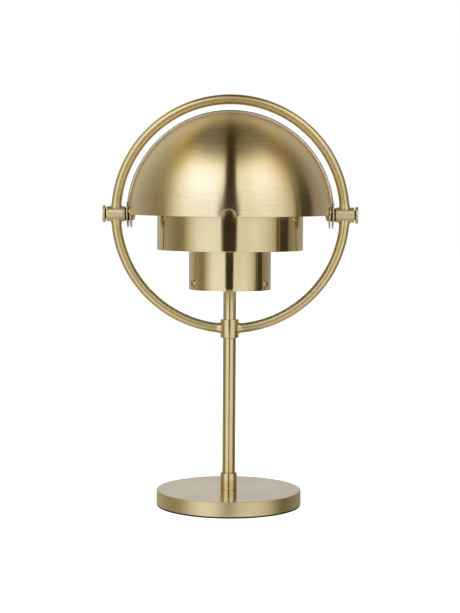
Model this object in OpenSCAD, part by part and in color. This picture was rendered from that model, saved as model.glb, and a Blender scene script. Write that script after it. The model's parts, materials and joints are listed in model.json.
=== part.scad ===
// Table lamp with a domed shade in two halves that turn on one pivot line.
// Millimetres, +Z up. The front is -Y and the pivot line runs along X.
// The origin is the centre of the underside of the foot pad.

/* [Base] */
// Diameter of the base
base_d = 177; // [150:1:230]
// Height of the base shell
base_h = 17; // [15:0.5:30]
// Wall of the base shell
base_wall = 1.5; // [1:0.1:2.5]
// Chamfer round the top of the base
base_edge = 0.8; // [0.2:0.1:1.5]
// Thickness of the foot pad
pad_t = 2; // [1:0.5:4]
// How far the pad stands in from the side of the base
pad_inset = 0.5; // [0.5:0.5:4]
// Thickness of the bottom plate
plate_t = 1.5; // [1:0.1:2.5]
// Radius of the ring of screws in the bottom plate
plate_screw_ring = 60; // [52:1:68]
// Diameter of the hole for the cord
cord_hole_d = 7.2; // [6:0.1:7.8]

/* [Stem] */
// Height of the pivot line above the table
pivot_z = 355.5; // [330:0.5:420]
// Outside diameter of the stem
stem_d = 16; // [13.5:0.1:18]
// Bore of the stem, and thread of the tubes screwed into it
thread_d = 10; // [9:0.1:11]
// Bore of the threaded tubes
lead_way_d = 7.2; // [5:0.1:7.6]
// Outside diameter of the collar at the foot
foot_collar_d = 20.4; // [18.5:0.1:26]
// Height of the collar at the foot
foot_collar_h = 20; // [12:0.5:40]
// Outside diameter of the collar that carries the hoop
hoop_collar_d = 22.4; // [20:0.1:27]
// Height of the collar that carries the hoop
hoop_collar_h = 22.4; // [18:0.1:22.8]

/* [Hoop and pivots] */
// Outside diameter of the hoop's tube
tube_d = 12; // [10:0.5:13]
// Wall of the hoop's tube
tube_wall = 1.5; // [1:0.1:2.5]
// Diameter of the pivot bosses
boss_d = 18.5; // [15:0.5:22]
// Length of the pivot bosses
boss_len = 22.6; // [20:0.1:30]
// Chamfer at the ends of the bosses and collars
boss_edge = 0.6; // [0.2:0.1:1.2]
// Diameter of the pivot bolts
bolt_d = 8; // [6:0.1:8.6]
// Diameter of the caps on the bolts
cap_d = 20.6; // [16:0.1:26]
// Thickness of the caps
cap_t = 3; // [2:0.1:5]
// Diameter of the spacers under the caps
spacer_d = 11; // [10:0.1:14]
// Thickness of the spacers under the caps
spacer_t = 1.6; // [1:0.1:3]
// Diameter of the friction washers
washer_d = 16; // [14:0.1:16.6]
// Thickness of the friction washers
washer_t = 1.65; // [1.4:0.05:2]
// Size of the pivot nuts across their corners
nut_d = 17; // [15:0.1:19]
// Thickness of the pivot nuts
nut_t = 3.2; // [2.5:0.1:5]

/* [Dome] */
// Outside radius of the front half
front_r = 124.3; // [118:0.1:130]
// Wall of both halves
shade_t = 1; // [0.8:0.1:1.2]
// Diameter of the flat at each pole of the front half
front_flat_d = 48.5; // [46:0.5:51]
// Diameter of the flat at each pole of the rear half
rear_flat_d = 38.2; // [37.5:0.1:40]
// Diameter of the ear discs
ear_d = 33; // [31:0.5:34]
// Thickness of the ear discs
ear_t = 1.2; // [1:0.1:1.6]
// Gap between the stem and the notch in each rim
stem_gap = 0.9; // [0.8:0.1:4]
// How far the front half leans forward at rest
front_lean = 0.9; // [0:0.1:2]

/* [Cylinders] */
// Diameter of the small cylinder
small_d = 99.8; // [92:0.2:110]
// Height of the small cylinder
small_h = 182; // [172:1:190]
// Diameter of the large cylinder
large_d = 177.2; // [168:0.2:186]
// Height of the large cylinder
large_h = 86; // [70:1:110]
// Wall of both cylinders
cyl_t = 1; // [0.8:0.1:1.5]
// Height of the lower screws above the rim of the small cylinder
small_screw_rise = 8.3; // [7:0.1:12]
// How far the upper screws lie below the pivot line
large_screw_drop = 3.8; // [0:0.1:8]
// Diameter of the screw heads
screw_head_d = 8; // [6:0.1:10]
// Diameter of the screw shanks
screw_d = 4; // [3:0.1:5]
// Width of the spider arms
arm_w = 10; // [8:0.5:14]
// Thickness of the spiders
arm_t = 2.5; // [2:0.1:3.5]

/* [Bulb] */
// Diameter of the globe
globe_d = 60; // [45:1:66]
// Diameter of the bulb's screw cap
bulb_cap_d = 26; // [24:0.1:26.6]
// Outside diameter of the lamp holder
holder_d = 33; // [31:0.5:40]
// Height of the lamp holder
holder_h = 38; // [34:1:40]

/* [Hidden] */
$fn = 96;

brass = "#bfa76a";
white = "#f3f1ea";
black = "#1c1b19";
steel = "#8d9094";
iron = "#4b4c4e";

// Clearances
slip = 0.05;          // beside and inside what turns
hood_gap = 0.35;      // round the pivot nut, and beside the rear ear
cut = 1;              // how far a cut runs past a face
far = 400;            // longer than anything it cuts

// Base, from the table up
plate_z = pad_t;
weight_z = plate_z + plate_t;
base_top = pad_t + base_h;
weight_top = base_top - base_wall;
base_r = base_d / 2;
plate_r = base_r - base_wall - 0.3;
gland_z = (weight_z + weight_top) / 2;
gland_wall = 1.4;
gland_r = cord_hole_d / 2 + gland_wall;
flange_r = gland_r + 1.2;
flange_t = 1.8;
gland_in = 4;         // how far the gland reaches inside
nut_room = 3;         // round the stem nut
web_t = 4;            // iron left above the stem nut
washer_under_t = 1.5;
washer_over = 2;      // how far that washer reaches beyond the nut
stem_nut_t = 3.5;
small_nut_d = thread_d + 6.2;
nipple_low = weight_top - web_t - washer_under_t - stem_nut_t - 0.5;
lead_d = 3.2;
lead_z = weight_z + 2.5;
lead_bend = 4;
block_size = [18, 20, 9];
block_y = 26;
plate_screw_d = 3.4;
plate_screw_len = 7.5;
screw_end_gap = 0.5;  // left in the iron past the end of each plate screw
passage_w = 6;        // for the lead, in the iron
cord_room = 0.9;      // round the cord, in the iron
pocket_gap = 2;       // round the terminal block
terminal_pitch = 10;
terminal_d = 3.6;
foot_grip = 0.7;      // share of the foot collar's height that the threaded tube reaches up

// Brazed joints of the hoop
braze_flare = 2.2;    // how much wider than the tube the braze starts
braze_len = 9.5;
braze_low = 3.5;      // where it starts, from the boss's centre line
braze_in = 5;         // how deep it starts inside the collar

// Poles of the dome: a stack built outward from the front half's flats
front_out_x = sqrt(pow(front_r, 2) - pow(front_flat_d / 2, 2));
rear_in_x = front_out_x + slip + washer_t + slip;
rear_out_x = rear_in_x + ear_t + shade_t;
boss_in_x = rear_out_x + slip + washer_t;
hoop_r = boss_in_x + boss_len / 2;
boss_out_x = hoop_r + boss_len / 2;
cap_in_x = boss_out_x + spacer_t;
front_in_x = front_out_x - shade_t - ear_t;
nut_in_x = front_in_x - slip - nut_t;
rear_r = sqrt(pow(rear_out_x, 2) + pow(rear_flat_d / 2, 2));
notch_r = stem_d / 2 + stem_gap;
tube_r = tube_d / 2;

// Ears
hood_in_r = nut_d / 2 + hood_gap;
hood_t = 0.7;
hood_r = hood_in_r + hood_t;
relief_h = hood_r + 0.3;
relief_x = nut_in_x + 0.6;
rivet_ring = ear_d / 2 - 2.8;
rivet_angles = [62, 81];
rivet_r = 0.9;
rivet_head_r = 1.5;
rivet_top_r = 0.9;
rivet_head_t = 0.7;
hub_r = washer_d / 2;
hood_lap = 0.5;       // how far the hood's end wall laps over the hub

// Cylinders and spiders
small_bottom = pivot_z - small_h / 2;
large_bottom = pivot_z - large_h / 2;
small_screw_z = small_bottom + small_screw_rise;
large_screw_z = pivot_z - large_screw_drop;
arm_angles = [-60, 60, 180];   // from the front
hub_over = 5;         // how far the lower spider's hub reaches beyond the stem
hub_t = 4;
ring_w = 6;
screw_up = arm_t + screw_d / 2 + 0.5;   // the screws lie just above the arms
tab_h = screw_up + screw_d;
spider_hub_r = stem_d / 2 + hub_over;
stem_top = small_screw_z - screw_up;
spider_nut_t = 3;
top_grip = 15;        // how far the upper threaded tube reaches down into the stem
head_t = 2.2;
socket_d = screw_head_d * 0.45;
socket_h = 1.1;
shank_len = 5;

// Holder and bulb, from the spider up
holder_z = stem_top + hub_t + spider_nut_t;
holder_floor = 4;
thread_wall = 0.8;
holder_wall = (holder_d - bulb_cap_d) / 2 - thread_wall - 0.2;
insert_z = holder_z + holder_floor;
insert_h = 8;
contact_t = 1.2;
cap_z = insert_z + insert_h + contact_t;
cap_h = holder_z + holder_h + 1 - cap_z;   // the cap ends just above the holder's rim
tip_d = 9;
tip_h = 2;
neck_z = cap_z + cap_h;
neck_h = 24;
globe_r = globe_d / 2;
neck_top_r = globe_r * 0.8;             // where the neck meets the globe: this far out,
globe_z = neck_z + neck_h + globe_r * 0.6;   // and this far under the globe's centre
glass_t = 1;
nipple_top = insert_z + insert_h / 4;

// ---- shapes that repeat ----

// A rod along +Z with chamfered ends
module turned(r, h, edge) {
    rotate_extrude()
        polygon([[0, 0], [r - edge, 0], [r, edge], [r, h - edge], [r - edge, h], [0, h]]);
}

// Puts a shape that is drawn along +Z onto the pivot line, at x, pointing outward on one side
module on_pivot(side, x) {
    translate([side * x, 0, pivot_z]) rotate([0, side * 90, 0]) children();
}

// Both sides of the lamp
module both_sides() {
    for (side = [-1, 1]) on_side(side) children();
}

// A shape drawn for the right-hand side, on either side
module on_side(side) {
    if (side > 0) children();
    else mirror([1, 0, 0]) children();
}

module washer(r, hole_r, t) {
    difference() {
        cylinder(r = r, h = t);
        translate([0, 0, -cut]) cylinder(r = hole_r, h = t + 2 * cut);
    }
}

module hex_nut(d, hole_r, t) {
    difference() {
        cylinder(d = d, h = t, $fn = 6);
        translate([0, 0, -cut]) cylinder(r = hole_r, h = t + 2 * cut);
    }
}

module pipe(r, bore_r, h) {
    washer(r, bore_r, h);
}

// Part of the hoop between two angles, counted from +X towards +Z
module hoop_arc(from, to) {
    translate([0, 0, pivot_z]) rotate([90, 0, 0]) rotate([0, 0, from])
        rotate_extrude(angle = to - from) translate([hoop_r, 0]) difference() {
            circle(r = tube_r);
            circle(r = tube_r - tube_wall);
        }
}

// Braze that tapers from a boss or collar onto the tube, along +Z from the joint's centre
module braze(start) {
    difference() {
        translate([0, 0, start])
            cylinder(r1 = tube_r + braze_flare, r2 = tube_r - slip, h = braze_len);
        cylinder(r = tube_r - tube_wall, h = far, center = true);
    }
}

// A flat bar from one radius to another, pointing at an angle from the front
module arm(angle, from, to) {
    rotate([0, 0, angle]) translate([-arm_w / 2, -to, 0]) cube([arm_w, to - from, arm_t]);
}

// A tab that stands against the inside of a cylinder wall, with its screw hole
module tab(angle, wall_r) {
    rotate([0, 0, angle]) difference() {
        intersection() {
            washer(wall_r, wall_r - arm_t, tab_h);
            translate([-arm_w / 2, -wall_r - cut, -cut]) cube([arm_w, wall_r, tab_h + 2 * cut]);
        }
        translate([0, 0, screw_up]) rotate([90, 0, 0]) cylinder(d = screw_d, h = far);
    }
}

// The ring of screws round a cylinder
module cylinder_screws(outer_r, z) {
    for (angle = arm_angles) translate([0, 0, z]) rotate([0, 0, angle]) rotate([90, 0, 0]) {
        difference() {
            translate([0, 0, outer_r - 1]) cylinder(d = screw_head_d, h = head_t + 1);
            rotate([-90, 0, 0]) cylinder(r = outer_r, h = far, center = true);
            translate([0, 0, outer_r + head_t - socket_h])
                cylinder(d = socket_d, h = 2 * socket_h, $fn = 6);
        }
        intersection() {
            translate([0, 0, outer_r - shank_len]) cylinder(d = screw_d, h = shank_len + 1);
            rotate([-90, 0, 0]) cylinder(r = outer_r, h = far, center = true);
        }
    }
}

// An open cylinder with its ring of screw holes
module light_cylinder(d, h, z, screw_z) {
    difference() {
        translate([0, 0, z]) cylinder(d = d, h = h);
        translate([0, 0, z - cut]) cylinder(d = d - 2 * cyl_t, h = h + 2 * cut);
        for (angle = arm_angles) translate([0, 0, screw_z]) rotate([0, 0, angle]) rotate([90, 0, 0])
            cylinder(d = screw_d, h = far);
    }
}

// Leans a shape about the pivot line; positive brings the front down
module lean(angle) {
    translate([0, 0, pivot_z]) rotate([angle, 0, 0]) translate([0, 0, -pivot_z]) children();
}

// The ball that a shade half is cut from, flattened at both poles
module flattened_ball(r, flat_x) {
    intersection() {
        sphere(r = r, $fn = 180);
        cube([2 * flat_x, far, far], center = true);
    }
}

// A quarter of a flattened shell: the upper front quarter for dir -1, the upper rear one for +1
module quarter_shell(r, flat_x, dir) {
    translate([0, 0, pivot_z]) difference() {
        flattened_ball(r, flat_x);
        flattened_ball(r - shade_t, flat_x - shade_t);
        translate([0, 0, -far / 2]) cube([far, far, far], center = true);
        translate([0, -dir * far / 2, 0]) cube([far, far, far], center = true);
        rotate([dir > 0 ? -90 : 90, 0, 0]) cylinder(r = notch_r, h = far);
    }
}

// Places on the ear discs where the rivets go, drawn along +Z at x on the right-hand side
module at_rivets(dir, x) {
    for (angle = rivet_angles)
        translate([x, dir * rivet_ring * cos(angle), pivot_z + rivet_ring * sin(angle)])
            rotate([0, 90, 0]) children();
}

// Disc and hub of an ear on the right-hand side; the disc lies inside the shade's flat
module ear(inner_x, dir) {
    difference() {
        union() {
            on_pivot(1, inner_x) cylinder(d = ear_d, h = ear_t);
            on_pivot(1, inner_x) cylinder(r = hub_r, h = ear_t + shade_t);
        }
        on_pivot(1, inner_x - cut) cylinder(d = bolt_d + 2 * slip, h = ear_t + shade_t + 2 * cut);
        at_rivets(dir, inner_x - cut) cylinder(r = rivet_r, h = ear_t + 2 * cut);
    }
}

// ---- base ----

module foot_pad() {
    color(black) cylinder(r = base_r - pad_inset, h = pad_t);
}

module at_plate_screws() {
    for (angle = [30, 150, 270]) rotate([0, 0, angle]) translate([plate_screw_ring, 0, plate_z])
        children();
}

module countersunk_screw() {
    cylinder(r1 = plate_screw_d, r2 = plate_screw_d / 2, h = plate_t);
    cylinder(d = plate_screw_d, h = plate_screw_len);
}

module bottom_plate() {
    color(steel) difference() {
        translate([0, 0, plate_z]) cylinder(r = plate_r, h = plate_t);
        at_plate_screws() countersunk_screw();
    }
}

module bottom_plate_screws() {
    color(steel) at_plate_screws() countersunk_screw();
}

module base_weight() {
    color(iron) difference() {
        translate([0, 0, weight_z]) cylinder(r = plate_r, h = weight_top - weight_z);
        cylinder(d = thread_d + 4 * slip, h = far);
        cylinder(r = small_nut_d / 2 + nut_room, h = weight_top - web_t);
        // passage for the lead, pocket for its terminal block, and passage to the cord's hole
        translate([-passage_w / 2, 0, 0]) cube([passage_w, block_y, lead_z + passage_w / 2]);
        translate([-block_size[0] / 2 - pocket_gap, block_y - pocket_gap, 0])
            cube([block_size[0] + 2 * pocket_gap, block_size[1] + 2 * pocket_gap,
                  weight_z + block_size[2] + pocket_gap / 2]);
        translate([-cord_hole_d / 2 - cord_room, block_y, 0])
            cube([cord_hole_d + 2 * cord_room, far, gland_z + cord_hole_d / 2 + cord_room]);
        translate([-flange_r - cord_room, plate_r - gland_in, 0])
            cube([2 * (flange_r + cord_room), far, far]);
        at_plate_screws() cylinder(d = plate_screw_d, h = plate_screw_len + screw_end_gap);
    }
}

module base_shell() {
    color(brass) difference() {
        rotate_extrude() polygon([
            [0, base_top], [base_r - base_edge, base_top], [base_r, base_top - base_edge],
            [base_r, pad_t], [base_r - base_wall, pad_t],
            [base_r - base_wall, weight_top], [0, weight_top]]);
        cylinder(d = thread_d, h = far);
        translate([0, 0, gland_z]) rotate([-90, 0, 0]) cylinder(r = gland_r, h = far);
    }
}

module cord_gland() {
    color(black) translate([0, 0, gland_z]) difference() {
        union() {
            rotate([-90, 0, 0]) translate([0, 0, base_r - gland_in])
                cylinder(r = gland_r, h = gland_in + flange_t);
            difference() {
                rotate([-90, 0, 0]) translate([0, 0, base_r - 1])
                    cylinder(r = flange_r, h = 1 + flange_t);
                cylinder(r = base_r, h = far, center = true);
            }
        }
        rotate([-90, 0, 0]) cylinder(d = cord_hole_d, h = far);
    }
}

module terminal_block() {
    color(white) difference() {
        translate([-block_size[0] / 2, block_y, weight_z]) cube(block_size);
        translate([0, block_y + block_size[1] / 2, lead_z + lead_d])
            for (across = [-0.5, 0.5], along = [-0.5, 0.5])
                translate([across * terminal_pitch, along * terminal_pitch, 0])
                    cylinder(d = terminal_d, h = far);
    }
}

module stem_washer() {
    color(steel) translate([0, 0, weight_top - web_t - washer_under_t])
        washer(small_nut_d / 2 + washer_over, thread_d / 2, washer_under_t);
}

module stem_nut() {
    color(steel) translate([0, 0, weight_top - web_t - washer_under_t - stem_nut_t])
        hex_nut(small_nut_d, thread_d / 2, stem_nut_t);
}

module foot_nipple() {
    color(steel) translate([0, 0, nipple_low])
        pipe(thread_d / 2, lead_way_d / 2, base_top + foot_collar_h * foot_grip - nipple_low);
}

// ---- stem ----

module foot_collar() {
    color(brass) difference() {
        translate([0, 0, base_top]) turned(foot_collar_d / 2, foot_collar_h, boss_edge);
        cylinder(d = stem_d, h = far);
        translate([0, 0, base_top + foot_collar_h / 2]) rotate([-90, 0, 0]) cylinder(d = screw_d, h = far);
    }
}

module stem_tube() {
    color(brass) translate([0, 0, base_top]) pipe(stem_d / 2, thread_d / 2, stem_top - base_top);
}

module hoop_collar() {
    color(brass) difference() {
        translate([0, 0, pivot_z - hoop_r - hoop_collar_h / 2])
            turned(hoop_collar_d / 2, hoop_collar_h, boss_edge);
        cylinder(d = stem_d, h = far);
        translate([0, 0, pivot_z - hoop_r]) rotate([-90, 0, 0]) cylinder(d = screw_d, h = far);
    }
}

module grub_screw(inner_r, outer_r) {
    rotate([-90, 0, 0]) difference() {
        translate([0, 0, inner_r]) cylinder(d = screw_d, h = outer_r - inner_r - 0.3);
        translate([0, 0, outer_r - 1.6]) cylinder(d = screw_d / 2, h = 3, $fn = 6);
    }
}

// Both screws end flat, so each touches the round stem along a line
module collar_grub_screws() {
    color(black) {
        translate([0, 0, base_top + foot_collar_h / 2]) grub_screw(stem_d / 2, foot_collar_d / 2);
        translate([0, 0, pivot_z - hoop_r]) grub_screw(stem_d / 2, hoop_collar_d / 2);
    }
}

// ---- hoop ----

module boss_space(side) {
    on_pivot(side, boss_in_x) cylinder(d = boss_d, h = boss_len);
}

module collar_space() {
    translate([0, 0, pivot_z - hoop_r - far / 2]) cylinder(d = hoop_collar_d, h = far);
}

module hoop_top() {
    color(brass) difference() {
        union() {
            hoop_arc(0, 180);
            both_sides() translate([hoop_r, 0, pivot_z]) braze(braze_low);
        }
        for (side = [-1, 1]) boss_space(side);
    }
}

module hoop_lower_right() {
    color(brass) difference() {
        union() {
            hoop_arc(-90, 0);
            translate([hoop_r, 0, pivot_z]) mirror([0, 0, 1]) braze(braze_low);
            translate([0, 0, pivot_z - hoop_r]) rotate([0, 90, 0]) braze(hoop_collar_d / 2 - braze_in);
        }
        boss_space(1);
        collar_space();
    }
}

module hoop_lower_left() {
    mirror([1, 0, 0]) hoop_lower_right();
}

// ---- pivots ----

module pivot_boss(side) {
    color(brass) difference() {
        on_pivot(side, boss_in_x) turned(boss_d / 2, boss_len, boss_edge);
        on_pivot(side, boss_in_x - cut) cylinder(d = bolt_d, h = boss_len + 2 * cut);
    }
}

module pivot_boss_left() { pivot_boss(-1); }
module pivot_boss_right() { pivot_boss(1); }

module pivot_bolt(side) {
    color(brass) {
        on_pivot(side, nut_in_x - 1) cylinder(d = bolt_d, h = cap_in_x - nut_in_x + 1);
        on_pivot(side, cap_in_x) turned(cap_d / 2, cap_t, boss_edge);
    }
}

module pivot_bolt_left() { pivot_bolt(-1); }
module pivot_bolt_right() { pivot_bolt(1); }

module cap_spacers() {
    color(black) for (side = [-1, 1]) on_pivot(side, boss_out_x)
        washer(spacer_d / 2, bolt_d / 2, spacer_t);
}

module boss_washers() {
    color(black) for (side = [-1, 1]) on_pivot(side, rear_out_x + slip)
        washer(washer_d / 2, bolt_d / 2, washer_t);
}

module shade_washers() {
    color(black) for (side = [-1, 1]) on_pivot(side, front_out_x + slip)
        washer(washer_d / 2, bolt_d / 2, washer_t);
}

module pivot_nuts() {
    color(steel) for (side = [-1, 1]) on_pivot(side, nut_in_x) hex_nut(nut_d, bolt_d / 2, nut_t);
}

// ---- cylinders ----

module lower_spider() {
    color(steel) translate([0, 0, stem_top]) difference() {
        union() {
            cylinder(r = spider_hub_r, h = hub_t);
            for (angle = arm_angles) {
                arm(angle, spider_hub_r / 2, small_d / 2 - cyl_t - arm_t / 2);
                tab(angle, small_d / 2 - cyl_t);
            }
        }
        translate([0, 0, -cut]) cylinder(d = thread_d, h = hub_t + 2 * cut);
    }
}

module top_nipple() {
    color(steel) translate([0, 0, stem_top - top_grip])
        pipe(thread_d / 2, lead_way_d / 2, nipple_top - stem_top + top_grip);
}

module spider_nut() {
    color(steel) translate([0, 0, stem_top + hub_t]) hex_nut(small_nut_d, thread_d / 2, spider_nut_t);
}

module small_cylinder() {
    color(brass) light_cylinder(small_d, small_h, small_bottom, small_screw_z);
}

module small_cylinder_screws() {
    color(brass) cylinder_screws(small_d / 2, small_screw_z);
}

module mid_spider() {
    color(steel) translate([0, 0, large_screw_z - screw_up]) {
        washer(small_d / 2 + ring_w, small_d / 2, arm_t);
        for (angle = arm_angles) {
            arm(angle, small_d / 2 + ring_w / 2, large_d / 2 - cyl_t - arm_t / 2);
            tab(angle, large_d / 2 - cyl_t);
        }
    }
}

module large_cylinder() {
    color(brass) light_cylinder(large_d, large_h, large_bottom, large_screw_z);
}

module large_cylinder_screws() {
    color(brass) cylinder_screws(large_d / 2, large_screw_z);
}

// ---- holder and bulb ----

module lamp_holder() {
    color(black) translate([0, 0, holder_z]) difference() {
        turned(holder_d / 2, holder_h, boss_edge);
        translate([0, 0, holder_floor]) cylinder(r = holder_d / 2 - holder_wall, h = holder_h);
        translate([0, 0, -cut]) cylinder(d = thread_d, h = far);
    }
}

module holder_insert() {
    color(white) translate([0, 0, insert_z])
        pipe(holder_d / 2 - holder_wall, thread_d / 2, insert_h);
}

module holder_contact() {
    color(brass) translate([0, 0, insert_z + insert_h]) cylinder(d = thread_d + 2, h = contact_t);
}

module holder_thread() {
    color(brass) translate([0, 0, insert_z + insert_h])
        pipe(holder_d / 2 - holder_wall, holder_d / 2 - holder_wall - thread_wall,
             holder_h - 2 * holder_floor - insert_h);
}

module bulb_cap() {
    color(steel) translate([0, 0, cap_z]) {
        cylinder(d = tip_d, h = tip_h);
        translate([0, 0, tip_h / 2]) cylinder(r1 = tip_d * 0.66, r2 = bulb_cap_d / 2, h = tip_h * 1.5);
        translate([0, 0, tip_h * 2]) cylinder(d = bulb_cap_d, h = cap_h - tip_h * 2);
    }
}

// Outline of the globe and its neck, drawn in by a wall
module globe_form(wall) {
    translate([0, 0, globe_z]) sphere(r = globe_r - wall);
    translate([0, 0, neck_z + (wall > 0 ? wall : 0)])
        cylinder(r1 = bulb_cap_d / 2 - 0.5 - wall, r2 = neck_top_r - wall, h = neck_h);
}

module bulb_globe() {
    color(white) difference() {
        globe_form(0);
        globe_form(glass_t);
    }
}

module inner_lead() {
    color(black) {
        translate([0, 0, lead_z + lead_bend])
            cylinder(d = lead_d, h = insert_z + insert_h - lead_z - lead_bend);
        translate([0, lead_bend, lead_z + lead_bend]) rotate([90, 0, 90]) rotate([0, 0, 180])
            rotate_extrude(angle = 90) translate([lead_bend, 0]) circle(d = lead_d);
        translate([0, lead_bend, lead_z]) rotate([-90, 0, 0])
            cylinder(d = lead_d, h = block_y - lead_bend);
    }
}

// ---- front half of the dome ----

module front_shade() {
    color(brass) lean(front_lean) difference() {
        quarter_shell(front_r, front_out_x, -1);
        both_sides() {
            translate([relief_x, -far, pivot_z - cut]) cube([far, far + cut, relief_h + cut]);
            at_rivets(-1, front_in_x) cylinder(r = rivet_r, h = far);
        }
    }
}

// Quarter-round hood that covers the nut from the front
module hood() {
    intersection() {
        on_pivot(1, relief_x) washer(hood_r, hood_in_r, rear_in_x - hood_gap - relief_x);
        translate([0, -far, pivot_z]) cube([far, far, far]);
    }
    intersection() {
        on_pivot(1, front_in_x) washer(hood_r, hub_r - hood_lap, ear_t);
        translate([0, -far, pivot_z]) cube([far, far, far]);
    }
}

module front_ear(side) {
    color(brass) on_side(side) lean(front_lean) {
        ear(front_in_x, -1);
        hood();
    }
}

module front_ear_left() { front_ear(-1); }
module front_ear_right() { front_ear(1); }

// The heads are on the inside, and the outer ends are flush
module front_ear_rivets() {
    color(brass) both_sides() lean(front_lean) {
        at_rivets(-1, front_in_x) cylinder(r = rivet_r, h = ear_t + shade_t);
        at_rivets(-1, front_in_x - rivet_head_t)
            cylinder(r1 = rivet_top_r, r2 = rivet_head_r, h = rivet_head_t);
    }
}

// ---- rear half of the dome ----

module rear_shade() {
    color(brass) difference() {
        quarter_shell(rear_r, rear_out_x, 1);
        both_sides() {
            on_pivot(1, rear_in_x) cylinder(r = hub_r + 0.4, h = far);
            at_rivets(1, rear_in_x) cylinder(r = rivet_r, h = far);
        }
    }
}

module rear_ear(side) {
    color(brass) on_side(side) ear(rear_in_x, 1);
}

module rear_ear_left() { rear_ear(-1); }
module rear_ear_right() { rear_ear(1); }

// The heads are on the outside, and the inner ends are flush
module rear_ear_rivets() {
    color(brass) both_sides() {
        at_rivets(1, rear_in_x) cylinder(r = rivet_r, h = ear_t + shade_t);
        at_rivets(1, rear_out_x) cylinder(r1 = rivet_head_r, r2 = rivet_top_r, h = rivet_head_t);
    }
}

foot_pad();
bottom_plate();
bottom_plate_screws();
base_weight();
base_shell();
cord_gland();
terminal_block();
stem_nut();
stem_washer();
foot_nipple();
foot_collar();
stem_tube();
hoop_collar();
collar_grub_screws();
hoop_top();
hoop_lower_left();
hoop_lower_right();
pivot_boss_left();
pivot_boss_right();
pivot_bolt_left();
pivot_bolt_right();
cap_spacers();
boss_washers();
shade_washers();
pivot_nuts();
lower_spider();
top_nipple();
spider_nut();
small_cylinder();
small_cylinder_screws();
mid_spider();
large_cylinder();
large_cylinder_screws();
lamp_holder();
holder_insert();
holder_contact();
holder_thread();
bulb_cap();
bulb_globe();
inner_lead();
front_shade();
front_ear_left();
front_ear_right();
front_ear_rivets();
rear_shade();
rear_ear_left();
rear_ear_right();
rear_ear_rivets();
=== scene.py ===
import json
from math import radians, pi, sin, cos, atan2

import bmesh
import bpy
from mathutils import Matrix, Vector


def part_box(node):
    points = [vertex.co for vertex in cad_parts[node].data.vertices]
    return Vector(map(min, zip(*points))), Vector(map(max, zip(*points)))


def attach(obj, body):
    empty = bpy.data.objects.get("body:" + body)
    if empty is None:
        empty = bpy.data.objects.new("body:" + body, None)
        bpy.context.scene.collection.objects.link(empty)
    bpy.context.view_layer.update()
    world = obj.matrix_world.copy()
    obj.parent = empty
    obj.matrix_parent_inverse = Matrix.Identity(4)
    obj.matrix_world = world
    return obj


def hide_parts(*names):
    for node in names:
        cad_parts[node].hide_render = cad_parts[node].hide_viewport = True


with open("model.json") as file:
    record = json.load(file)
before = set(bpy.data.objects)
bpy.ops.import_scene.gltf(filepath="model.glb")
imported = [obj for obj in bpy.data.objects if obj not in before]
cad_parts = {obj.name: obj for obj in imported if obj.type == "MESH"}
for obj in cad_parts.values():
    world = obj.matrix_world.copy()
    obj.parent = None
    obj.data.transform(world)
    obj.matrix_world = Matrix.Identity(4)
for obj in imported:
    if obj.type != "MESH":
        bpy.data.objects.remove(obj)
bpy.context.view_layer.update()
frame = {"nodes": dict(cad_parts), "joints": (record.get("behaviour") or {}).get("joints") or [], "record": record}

bpy.ops.object.select_all(action='DESELECT')
pivotZ = frame["joints"][0]["pos_m"][2]   # height of the line that both shade halves turn on


def span(node, axis):
    # The lowest and the highest place of a CAD node along x, y or z.
    low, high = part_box(node)
    return low["xyz".index(axis)], high["xyz".index(axis)]


def furthest(node, axis):
    return span(node, axis)[1]


view = {
    "distance": 1.8392,  # from the stem's axis
    "height": 0.3688,
    "turn": 1.1,         # degrees to the right of straight ahead
    "down": 3.90,
    "roll": 0.355,
    "lens": 88.79,
    "shift": 0.0005,
}


def addCamera():
    turn = Matrix.Rotation(radians(view["turn"]), 4, 'Z')
    place = turn @ Matrix.Translation((0, -view["distance"], view["height"]))
    tilt = Matrix.Rotation(radians(90 - view["down"]), 4, 'X')
    roll = Matrix.Rotation(radians(view["roll"]), 4, 'Z')
    bpy.ops.object.camera_add()
    camera = bpy.context.object
    camera.name = "camera"
    camera.matrix_world = place @ tilt @ roll
    camera.data.lens = view["lens"]
    camera.data.shift_x = view["shift"]
    camera.data.clip_end = 30
    bpy.context.scene.camera = camera


addCamera()
print("camera set")


class Wire:
    # One value or socket in a node tree; sums on it add the Math nodes they need.
    def __init__(self, tree, out):
        self.tree = tree
        self.out = out

    def node(self, kind, settings=None, values=None, out=0):
        made = self.tree.nodes.new(kind)
        for name, value in (settings or {}).items():
            if name == "stops":
                ramp = made.color_ramp
                while len(ramp.elements) > 1:
                    ramp.elements.remove(ramp.elements[-1])
                ramp.elements[0].position = value[0][0]
                ramp.elements[0].color = value[0][1]
                for place, colour in value[1:]:
                    ramp.elements.new(place).color = colour
            elif name == "easing":
                made.color_ramp.interpolation = value
            else:
                setattr(made, name, value)
        for name, value in (values or {}).items():
            if isinstance(value, Wire):
                self.tree.links.new(value.out, made.inputs[name])
            else:
                made.inputs[name].default_value = value
        return Wire(self.tree, made.outputs[out])

    def maths(self, operation, first, second=None):
        values = {0: first} if second is None else {0: first, 1: second}
        return self.node("ShaderNodeMath", {"operation": operation}, values)

    def mixed(self, factor, first, second):
        return self.node("ShaderNodeMix", {"data_type": 'FLOAT'}, {0: factor, 2: first, 3: second})

    def __add__(self, other):
        return self.maths('ADD', self, other)

    def __radd__(self, other):
        return self.maths('ADD', other, self)

    def __sub__(self, other):
        return self.maths('SUBTRACT', self, other)

    def __rsub__(self, other):
        return self.maths('SUBTRACT', other, self)

    def __mul__(self, other):
        return self.maths('MULTIPLY', self, other)

    def __rmul__(self, other):
        return self.maths('MULTIPLY', other, self)

    def __truediv__(self, other):
        return self.maths('DIVIDE', self, other)


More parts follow.
